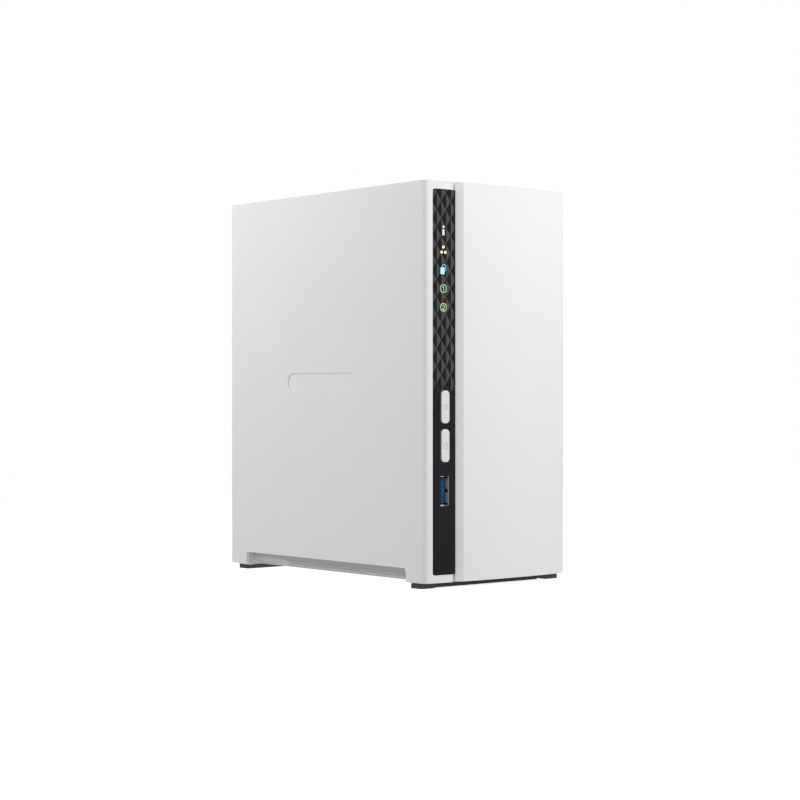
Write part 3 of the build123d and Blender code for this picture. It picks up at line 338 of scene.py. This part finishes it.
def moulded(name, colour, roughness, grain=0.35 * MM, depth=0.006 * MM, spread=0.012, **sockets):
    """Moulded plastic: spark-eroded grain, slight flow mottling and uneven gloss."""
    finish = Finish(name, colour, **sockets)
    finish.colour(finish.noise(28 * MM, 2.0), *shades(colour, spread))
    finish.roughness(finish.noise(6 * MM), *roughness)
    finish.bump(finish.noise(grain, 4.0), depth)
    return finish


def metal(name, colour, roughness, streak, depth=0.004 * MM, spread=0.06, metallic=1.0):
    """Bare metal with marks of one size, or stretched along one axis where streak has three."""
    finish = Finish(name, colour, metallic=metallic)
    marks = finish.noise(streak, 5.0, 0.6)
    finish.colour(marks, *shades(colour, spread))
    finish.roughness(finish.noise(3 * MM), *roughness)
    finish.bump(marks, depth)
    return finish


def galvanised(name, colour, roughness):
    """Zinc-coated sheet with its fine crystal spangle under a cloudy tone."""
    finish = Finish(name, colour, metallic=0.85)
    grey = finish.node("RGBToBW")
    finish.link(finish.cells(1.8 * MM), grey.inputs["Color"])
    clouds = finish.node("Mix", data_type="FLOAT")
    clouds.inputs["Factor"].default_value = 0.5
    finish.link(grey.outputs["Val"], clouds.inputs["A"])
    finish.link(finish.noise(14 * MM), clouds.inputs["B"])
    finish.colour(clouds.outputs["Result"], *shades(colour, 0.07), low=0.25, high=0.75)
    finish.roughness(clouds.outputs["Result"], *roughness)
    finish.bump(finish.noise(0.5 * MM, 3.0), 0.004 * MM)
    return finish


def circuit_board(name):
    """Green solder mask over copper tracks and plated holes."""
    finish = Finish(name, (0.01, 0.08, 0.03), roughness=0.32, Coat_Weight=0.3, Coat_Roughness=0.15)
    tracks = finish.cells(3.6 * MM, "DISTANCE_TO_EDGE", output="Distance")
    squares = finish.cells(2.2 * MM, "F1", "CHEBYCHEV", "Distance")
    mask = finish.ramp(tracks, ((0.05, (0.03, 0.17, 0.07)), (0.09, (0.009, 0.075, 0.03))))
    holes = finish.ramp(squares, ((0.10, (0.55, 0.45, 0.22)), (0.13, (0.0, 0.0, 0.0))))
    finish.link(finish.mix("LIGHTEN", mask, holes), finish.shader.inputs["Base Color"])
    finish.bump(tracks, 0.03 * MM, 0.4)
    finish.roughness(finish.noise(5 * MM), 0.26, 0.4)
    return finish


def lit(name, colour, strength):
    """A lit light window: a glowing tinted lens with a faintly uneven brightness."""
    finish = Finish(name, colour, roughness=0.35)
    glow = finish.ramp(finish.noise(0.9 * MM, 2.0), tuple(zip((0.3, 0.7), shades(colour, 0.05))))
    finish.link(glow, finish.shader.inputs["Emission Color"])
    finish.link(glow, finish.shader.inputs["Base Color"])
    finish.shader.inputs["Emission Strength"].default_value = strength
    return finish.material


def paint_shade_above(finish, start, stop, stops):
    """Paints shade into a finish's colour: multiplies it by greys at shares of the height from start to
    stop.
    """
    base = finish.shader.inputs["Base Color"].links[0].from_socket
    place = finish.node("SeparateXYZ")
    finish.link(finish.place, place.inputs["Vector"])
    share = finish.node("MapRange")
    share.inputs["From Min"].default_value = start
    share.inputs["From Max"].default_value = stop
    finish.link(place.outputs["Z"], share.inputs["Value"])
    greys = finish.ramp(share.outputs["Result"], [(position, (grey,) * 3) for position, grey in stops])
    finish.link(finish.mix("MULTIPLY", base, greys), finish.shader.inputs["Base Color"])


# ---------------------------------------------------------------- materials of the record's slots
moulded("white_shell", (0.86, 0.86, 0.862), (0.42, 0.52), spread=0.006)
moulded("grey_tray", (0.78, 0.78, 0.785), (0.46, 0.56))
# the grille's upper half is painted darker: a painted shade of the casing's edge, multiplied into its
# colour
GRILLE_PAINTED_SHADE = ((0.0, 1.0), (0.5, 0.96), (0.72, 0.70), (1.0, 0.66))
grille = moulded("grille", (0.76, 0.76, 0.77), (0.48, 0.58))
paint_shade_above(grille, 3.0 * MM, 8.0 * MM, GRILLE_PAINTED_SHADE)
moulded("black_gloss", (0.008, 0.008, 0.009), (0.15, 0.2), grain=0.8 * MM, depth=0.001 * MM, spread=0.1)
moulded("button_plastic", (0.765, 0.77, 0.775), (0.3, 0.38), grain=0.25 * MM, depth=0.003 * MM)
moulded("rubber_feet", (0.08, 0.08, 0.082), (0.7, 0.85), grain=0.5 * MM, depth=0.02 * MM, spread=0.12)
moulded("dark_plastic", (0.04, 0.04, 0.043), (0.45, 0.6), spread=0.1)
moulded("blue_plastic", (0.008, 0.072, 0.19), (0.35, 0.45), spread=0.05, Specular_IOR_Level=0.3)
moulded("switch_plastic", (0.09, 0.09, 0.092), (0.45, 0.6), spread=0.08)
moulded("fan_plastic", (0.03, 0.03, 0.032), (0.4, 0.55), spread=0.1)
DRAWN = (0.15 * MM, 2.5 * MM, 0.15 * MM)    # marks stretched along Y
STAMPED = (0.1 * MM, 1.5 * MM, 0.1 * MM)
metal("screw_steel", (0.62, 0.62, 0.61), (0.25, 0.4), 0.5 * MM)
metal("port_steel", (0.80, 0.80, 0.81), (0.34, 0.46), DRAWN, metallic=0.45)
metal("gold_contacts", (0.87, 0.64, 0.27), (0.18, 0.3), STAMPED)
metal("can_aluminium", (0.70, 0.70, 0.71), (0.38, 0.5), 0.45 * MM, depth=0.012 * MM)
galvanised("cage_steel", (0.62, 0.63, 0.64), (0.32, 0.46))
circuit_board("circuit_board")
lit("lamp", (0.9, 0.95, 0.85), 1.5)
# a darker copy of the tongue's blue, as painted shade on the step
PAINTED_SHADE_BLUE = moulded("blue_shadow", (0.004, 0.03, 0.09), (0.4, 0.5), spread=0.05).material
# black for the sheet behind the spring windows: a painted shadow
SHADE_SHEET_BLACK = moulded("black_film", (0.012, 0.012, 0.013), (0.5, 0.6), spread=0.1).material
clear = moulded("clear_guide", (0.90, 0.93, 0.96), (0.08, 0.14), depth=0.001 * MM)
clear.shader.inputs["Transmission Weight"].default_value = 0.95
clear.shader.inputs["IOR"].default_value = 1.49


# ---------------------------------------------------------------- indicator panel
def rise(x, z):
    """Height of the faceted relief above the panel's face."""
    fade = min(1.0, max(0.0, (z - RELIEF_END_Z) / (RELIEF_FULL_Z - RELIEF_END_Z)))
    u = (x - RELIEF_X) / FACET_W
    v = (RELIEF_Z - z) / FACET_H
    i, j = floor(u), floor(v)
    across, down = u - i, v - j
    share = abs(1 - across - down) if (i + j) % 2 else abs(across - down)
    return FACET_RISE * fade * fade * (3 - 2 * fade) * share


def panel_y(x, z):
    """Y of the panel's visible surface."""
    return front_y(x, PANEL_DEPTH) - rise(x, z)


def panel_facets(bm, low, high):
    """The relief as triangles between the grid's peaks and hollows, trimmed to the panel."""
    columns = range(floor((low.x - RELIEF_X) / FACET_W), floor((high.x - RELIEF_X) / FACET_W) + 2)
    rows = range(floor((RELIEF_Z - high.z) / FACET_H), floor((RELIEF_Z - low.z) / FACET_H) + 2)
    grid = {}
    for i in columns:
        for j in rows:
            x, z = RELIEF_X + i * FACET_W, RELIEF_Z - j * FACET_H
            grid[i, j] = bm.verts.new((x, panel_y(x, z), z))
    for i in columns[:-1]:
        for j in rows[:-1]:
            a, b, c, d = grid[i, j], grid[i + 1, j], grid[i + 1, j + 1], grid[i, j + 1]
            if (i + j) % 2:
                bm.faces.new((a, b, d))
                bm.faces.new((b, c, d))
            else:
                bm.faces.new((a, b, c))
                bm.faces.new((a, c, d))
    for point, normal in (
        ((low.x, 0, 0), (-1, 0, 0)),
        ((high.x, 0, 0), (1, 0, 0)),
        ((0, 0, low.z), (0, 0, -1)),
        ((0, 0, high.z), (0, 0, 1)),
    ):
        parts = list(bm.verts) + list(bm.edges) + list(bm.faces)
        bmesh.ops.bisect_plane(bm, geom=parts, plane_co=point, plane_no=normal, clear_outer=True)


def cutter(name, outline, y0, y1):
    """A closed prism along Y, for a boolean."""
    bm = bmesh.new()
    rings = [[bm.verts.new((x, y, z)) for x, z in outline] for y in (y0, y1)]
    grid_faces(bm, rings, closed=True)
    for ring in rings:
        bm.faces.new(ring)
    bmesh.ops.recalc_face_normals(bm, faces=bm.faces)
    mesh = bpy.data.meshes.new(name)
    bm.to_mesh(mesh)
    bm.free()
    tool = bpy.data.objects.new(name, mesh)
    scene.collection.objects.link(tool)
    return tool


def apply_booleans(piece, tools, operation="DIFFERENCE"):
    """Cuts the tools out of the piece's mesh, and removes them."""
    for tool in tools:
        cut = piece.modifiers.new(tool.name, "BOOLEAN")
        cut.object = tool
        cut.operation = operation
        cut.solver = "EXACT"
    graph = bpy.context.evaluated_depsgraph_get()
    mesh = bpy.data.meshes.new_from_object(piece.evaluated_get(graph))
    piece.modifiers.clear()
    piece.data = mesh
    for tool in tools:
        bpy.data.objects.remove(tool)


def window(node, width, height, radius, y0):
    """A cutter for an opening round a node's middle, from y0 back."""
    outline = rounded_outline(*node_centre(node), width, height, radius, 8)
    return cutter(node + "_window", outline, y0, CUT_BACK_Y)


def indicator_face():
    """The panel's face with its relief and openings."""
    low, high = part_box("indicator_panel")
    high.x = FACE_RIGHT_X
    bm = bmesh.new()
    panel_facets(bm, low, high)
    rim = [edge for edge in bm.edges if edge.is_boundary]
    skirt = bmesh.ops.extrude_edge_only(bm, edges=rim)["geom"]
    for vert in (part for part in skirt if isinstance(part, bmesh.types.BMVert)):
        vert.co.y = front_y(vert.co.x, PANEL_BACK)
    bmesh.ops.holes_fill(bm, edges=[edge for edge in bm.edges if edge.is_boundary], sides=0)
    black = bpy.data.materials["black_gloss"]
    piece = finish_piece("indicator_face", bm, black, "chassis")
    # only the left corners are rounded: the outline's right corners lie beyond the face
    wide = high.x + 3 * MM - low.x
    middle_x, middle_z = low.x + wide / 2, (low.z + high.z) / 2
    outline = rounded_outline(middle_x, middle_z, wide, high.z - low.z, PANEL_CORNER, 8)
    corners = cutter("face_corners", outline, CUT_FRONT_Y, CUT_BACK_Y)
    apply_booleans(piece, [corners], "INTERSECT")
    width, height, radius = BUTTON_SIZE
    tools = [
        window(node, width + 2 * BUTTON_GAP, height + 2 * BUTTON_GAP, radius, CUT_FRONT_Y)
        for node in ("power_button", "copy_button")
    ]
    shell_low, shell_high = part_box("front_usb_shell")
    shell_w, shell_h = shell_high.x - shell_low.x, shell_high.z - shell_low.z
    inside = (shell_w - 2 * SHELL_SKIN, shell_h - 2 * SHELL_SKIN, USB_CORNER)
    tools.append(window("front_usb_shell", *inside, CUT_FRONT_Y))
    pocket = (shell_w + 2 * POCKET_GAP, shell_h + 2 * POCKET_GAP, POCKET_CORNER)
    tools.append(window("front_usb_shell", *pocket, shell_low.y - POCKET_GAP / 2))
    apply_booleans(piece, tools)
    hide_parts("indicator_panel")


def indicator_flange():
    """The part of the panel that fills the groove beside the cover."""
    low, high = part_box("indicator_panel")
    bm = bmesh.new()
    rings = []
    left_x = FACE_RIGHT_X - 0.1 * MM    # overlaps the face a little
    for k in range(5):
        x = left_x + (high.x - left_x) * k / 4
        corners = (
            (FLANGE_DEPTH, low.z),
            (FLANGE_DEPTH, high.z),
            (PANEL_BACK, high.z),
            (PANEL_BACK, low.z),
        )
        rings.append([bm.verts.new((x, front_y(x, depth), z)) for depth, z in corners])
    grid_faces(bm, rings, closed=True)
    bm.faces.new(rings[0])
    bm.faces.new(rings[-1])
    finish_piece("indicator_flange", bm, bpy.data.materials["black_gloss"], "chassis")


indicator_flange()
indicator_face()

# ---------------------------------------------------------------- lit icons
GREEN = lit("lit_green", (0.50, 0.80, 0.42), 0.62)
PALE_GREEN = lit("lit_pale_green", (0.75, 1.0, 0.66), 0.75)
OUTLINE_GREEN = lit("lit_outline_green", (0.36, 0.56, 0.27), 0.48)
AMBER = lit("lit_amber", (0.88, 0.69, 0.34), 0.66)
BLUE = lit("lit_blue", (0.30, 0.66, 0.86), 0.8)
DIM_BLUE = lit("lit_dim_blue", (0.20, 0.38, 0.50), 0.4)


def icon_y(x, z):
    """Y of the plane through the relief's peaks, where the signs lie."""
    return front_y(x, PANEL_DEPTH) - FACET_RISE


def icon(name, shapes, material):
    """A flat sign on the panel: shapes are (rows, closed) pairs."""
    bm = bmesh.new()
    for rows, closed in shapes:
        plate(bm, rows, icon_y, ICON_THICKNESS, closed)
    return finish_piece(name, bm, material, "chassis")


def dot(x, z, radius):
    """A disc, as a shape for icon()."""
    outline = rounded_outline(x, z, 2 * radius, 2 * radius, radius, 5)
    return solid_shape(outline, x, z), True


def filled(x, z, width, height, radius):
    """A filled rounded rectangle, as a shape for icon()."""
    return solid_shape(rounded_outline(x, z, width, height, radius), x, z, 8), True


def outlined(x, z, width, height, radius, line):
    """A rounded rectangle drawn as a line of one width, as a shape for icon()."""
    path = rounded_outline(x, z, width - line, height - line, radius)
    return stroke(path, line, closed=True), True


icon("status_icon_dot", [dot(ICON_X, STATUS_Z + 1.4 * MM, 0.5 * MM)], PALE_GREEN)
icon("status_icon_bar", [filled(ICON_X, STATUS_Z - 1.17 * MM, 1.1 * MM, 2.75 * MM, 0.3 * MM)], GREEN)
NETWORK_DOTS = ((0, 1.5), (-1.02, -0.9), (1.02, -0.9))    # from the icon's centre
dots = [dot(ICON_X + x * MM, NETWORK_Z + up * MM, 0.69 * MM) for x, up in NETWORK_DOTS]
icon("network_icon", dots, AMBER)
front_sheet = filled(ICON_X - 0.5 * MM, STORAGE_Z - 0.6 * MM, 2.25 * MM, 3.3 * MM, 0.5 * MM)
icon("storage_icon_front", [front_sheet], BLUE)
# the visible edge of the sheet behind, in millimetres from the icon's centre
SHEET_BEHIND = (
    (-0.8, 1.5),
    (-0.5, 2.0),
    (-0.1, 2.15),
    (0.65, 2.15),
    (1.1, 1.9),
    (1.25, 1.4),
    (1.25, -0.7),
)
behind = [(ICON_X + x * MM, STORAGE_Z + up * MM) for x, up in SHEET_BEHIND]
icon("storage_icon_back", [(stroke(behind, SHEET_LINE), False)], DIM_BLUE)


def bay_icon(name, z, digit):
    """A rounded frame round a bay's number; digit is a list of lines about its centre."""
    lines = [[(ICON_X + x * MM, z + up * MM) for x, up in line] for line in digit]
    shapes = [(stroke(line, FRAME_LINE), False) for line in lines]
    shapes.append(outlined(ICON_X, z, 3.5 * MM, 3.85 * MM, 1.15 * MM, FRAME_LINE))
    return icon(name, shapes, OUTLINE_GREEN)


# the digits' lines, in millimetres from the frame's centre
ONE = [[(-0.6, 0.6), (0.1, 1.05), (0.1, -1.1)]]
TWO = [[
    (-0.75, 0.6),
    (-0.4, 1.0),
    (0.4, 1.0),
    (0.75, 0.6),
    (0.6, 0.1),
    (-0.75, -1.0),
    (0.8, -1.0),
]]
bay_icon("bay_1_icon", BAY_1_Z, ONE)
bay_icon("bay_2_icon", BAY_2_Z, TWO)


# ---------------------------------------------------------------- marks on the buttons
MARK_GREY = moulded("button_print", (0.45, 0.455, 0.46), (0.4, 0.5)).material


def button_mark(name, node, body, shapes):
    """A printed sign at the middle of a button's face."""
    face_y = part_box(node)[0].y + ICON_LIFT - MARK_PROUD
    bm = bmesh.new()
    for rows, closed in shapes:
        plate(bm, rows, lambda x, z: face_y, MARK_THICKNESS, closed)
    return finish_piece(name, bm, MARK_GREY, body)


mark_x, mark_z = node_centre("power_button")
ring_step = (2 * pi - 2 * RING_GAP) / RING_STEPS
ring = [
    (mark_x + RING_RADIUS * sin(angle), mark_z + RING_RADIUS * cos(angle))
    for angle in (RING_GAP + k * ring_step for k in range(RING_STEPS + 1))
]
power_line = [(mark_x, mark_z + 0.1 * MM), (mark_x, mark_z + 1.5 * MM)]
lines = [(stroke(line, MARK_LINE), False) for line in (ring, power_line)]
button_mark("power_mark", "power_button", "power_key", lines)
mark_x, mark_z = node_centre("copy_button")
copy_ring = outlined(mark_x, mark_z, 2.5 * MM, 2.7 * MM, 0.7 * MM, MARK_LINE)
button_mark("copy_mark", "copy_button", "copy_key", [copy_ring])


# ---------------------------------------------------------------- insides of the USB sockets
def socket_span(node, inward, start, stop):
    """The Y values of start and stop behind a socket's mouth, in rising order."""
    low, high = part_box(node)
    mouth = low.y if inward > 0 else high.y
    return sorted((mouth + inward * start, mouth + inward * stop))


def usb_contacts(name, node, inward):
    """Four gold pads and five gold springs along the tongue of a socket."""
    x, z = node_centre(node)
    x0, x1 = x + TONGUE_LEFT - CONTACT_PROUD, x + TONGUE_LEFT + CONTACT_SUNK
    bm = bmesh.new()
    for count, pitch, start, stop, half in (USB_PADS, USB_SPRINGS):
        y0, y1 = socket_span(node, inward, start, stop)
        for k in range(count):
            pad_z = z + (k - (count - 1) / 2) * pitch
            box_mesh(bm, (x0, y0, pad_z - half), (x1, y1, pad_z + half), CONTACT_BEVEL)
    finish_piece(name, bm, bpy.data.materials["gold_contacts"], "chassis")


def usb_strip(name, node, inward, side_x, sizes, material):
    """A thin strip that runs into a socket, beside side_x."""
    near, far, start, stop, half = sizes
    z = node_centre(node)[1]
    y0, y1 = socket_span(node, inward, start, stop)
    bm = bmesh.new()
    box_mesh(bm, (side_x + near, y0, z - half), (side_x + far, y1, z + half), STRIP_BEVEL)
    finish_piece(name, bm, material, "chassis")


for name, node, inward in (
    ("front_usb", "front_usb_shell", 1),
    ("rear_usb_lower", "rear_usb_shell_lower", -1),
    ("rear_usb_upper", "rear_usb_shell_upper", -1),
):
    usb_contacts(name + "_contacts", node, inward)
    # a step along the tongue's far side, in a darker blue that is painted shade, and a black sheet over
    # the shell's spring windows, a painted shadow seen through them
    middle_x, shell_x = node_centre(node)[0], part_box(node)[1].x
    usb_strip(name + "_step", node, inward, middle_x, USB_STEP, PAINTED_SHADE_BLUE)
    usb_strip(name + "_film", node, inward, shell_x, USB_SHADE_SHEET, SHADE_SHEET_BLACK)

# ---------------------------------------------------------------- floor, light and camera
def studio_floor():
    """A plain pale floor, just under the soles of the feet."""
    bm = bmesh.new()
    bmesh.ops.create_circle(bm, cap_ends=True, segments=96, radius=FLOOR_RADIUS)
    mesh = bpy.data.meshes.new("studio_floor")
    bm.to_mesh(mesh)
    bm.free()
    disc = bpy.data.objects.new("studio_floor", mesh)
    disc.location.z = -0.02 * MM
    scene.collection.objects.link(disc)
    finish = Finish("floor_white", (0.93, 0.93, 0.93), roughness=0.9)
    finish.colour(finish.noise(60 * MM, 2.0), (0.925, 0.925, 0.925), (0.935, 0.935, 0.935))
    finish.shader.inputs["Emission Color"].default_value = (1, 1, 1, 1)
    finish.shader.inputs["Emission Strength"].default_value = 0.75
    mesh.materials.append(finish.material)
    disc.visible_diffuse = False
    disc.visible_glossy = False


def soft_box(name, azimuth, elevation, distance, width, height, radiance, glossy=True):
    """An area light that looks at the object's middle. Azimuth 0 is in front, and + to the right."""
    aim = Vector((0, 0, 0.09))
    back = Vector((
        sin(radians(azimuth)) * cos(radians(elevation)),
        -cos(radians(azimuth)) * cos(radians(elevation)),
        sin(radians(elevation)),
    ))
    light = bpy.data.lights.new(name, "AREA")
    light.shape = "RECTANGLE"
    light.size = width
    light.size_y = height
    light.energy = radiance * width * height * pi
    lamp = bpy.data.objects.new(name, light)
    lamp.location = aim + back * distance
    lamp.rotation_euler = back.to_track_quat("Z", "Y").to_euler()
    lamp.visible_glossy = glossy
    lamp.visible_camera = False
    scene.collection.objects.link(lamp)


def studio_world(seen, around, mirrored):
    """White where the camera sees it, softer grey as surrounding light, and darker in reflections."""
    world = bpy.data.worlds.new("studio")
    world.use_nodes = True
    nodes, links = world.node_tree.nodes, world.node_tree.links
    nodes.clear()
    path = nodes.new("ShaderNodeLightPath")
    shown = nodes.new("ShaderNodeBackground")
    shown.inputs["Strength"].default_value = around
    for ray, strength in (("Is Glossy Ray", mirrored), ("Is Camera Ray", seen)):
        other = nodes.new("ShaderNodeBackground")
        other.inputs["Strength"].default_value = strength
        pick = nodes.new("ShaderNodeMixShader")
        links.new(path.outputs[ray], pick.inputs["Fac"])
        links.new(shown.outputs[0], pick.inputs[1])
        links.new(other.outputs["Background"], pick.inputs[2])
        shown = pick
    output = nodes.new("ShaderNodeOutputWorld")
    links.new(shown.outputs[0], output.inputs["Surface"])
    for node in nodes:
        if node.bl_idname == "ShaderNodeBackground":
            node.inputs["Color"].default_value = (1, 1, 1, 1)
    scene.world = world


def studio_camera():
    """A level camera, a little below the object's middle and 40 degrees round to the left."""
    camera = bpy.data.cameras.new("camera")
    camera.lens = CAMERA_LENS
    camera.sensor_width = 36.0
    holder = bpy.data.objects.new("camera", camera)
    holder.location = CAMERA_PLACE
    holder.rotation_euler = (radians(90), 0, radians(CAMERA_TURN))
    scene.collection.objects.link(holder)
    scene.camera = holder


studio_floor()
# azimuth, elevation, distance, width, height, radiance
soft_box("key", 15, 38, 0.5, 0.36, 0.36, 2.18, glossy=False)
soft_box("fill", -125, 38, 0.42, 0.3, 0.3, 2.45, glossy=False)
soft_box("low_fill", 43, 12, 1.5, 0.43, 1.12, 1.0, glossy=False)
soft_box("strip", 43, 12, 1.2, 0.34, 0.9, 1.45)
studio_world(seen=1.0, around=0.57, mirrored=0.25)
studio_camera()
scene.view_settings.view_transform = "Standard"
scene.view_settings.look = "None"
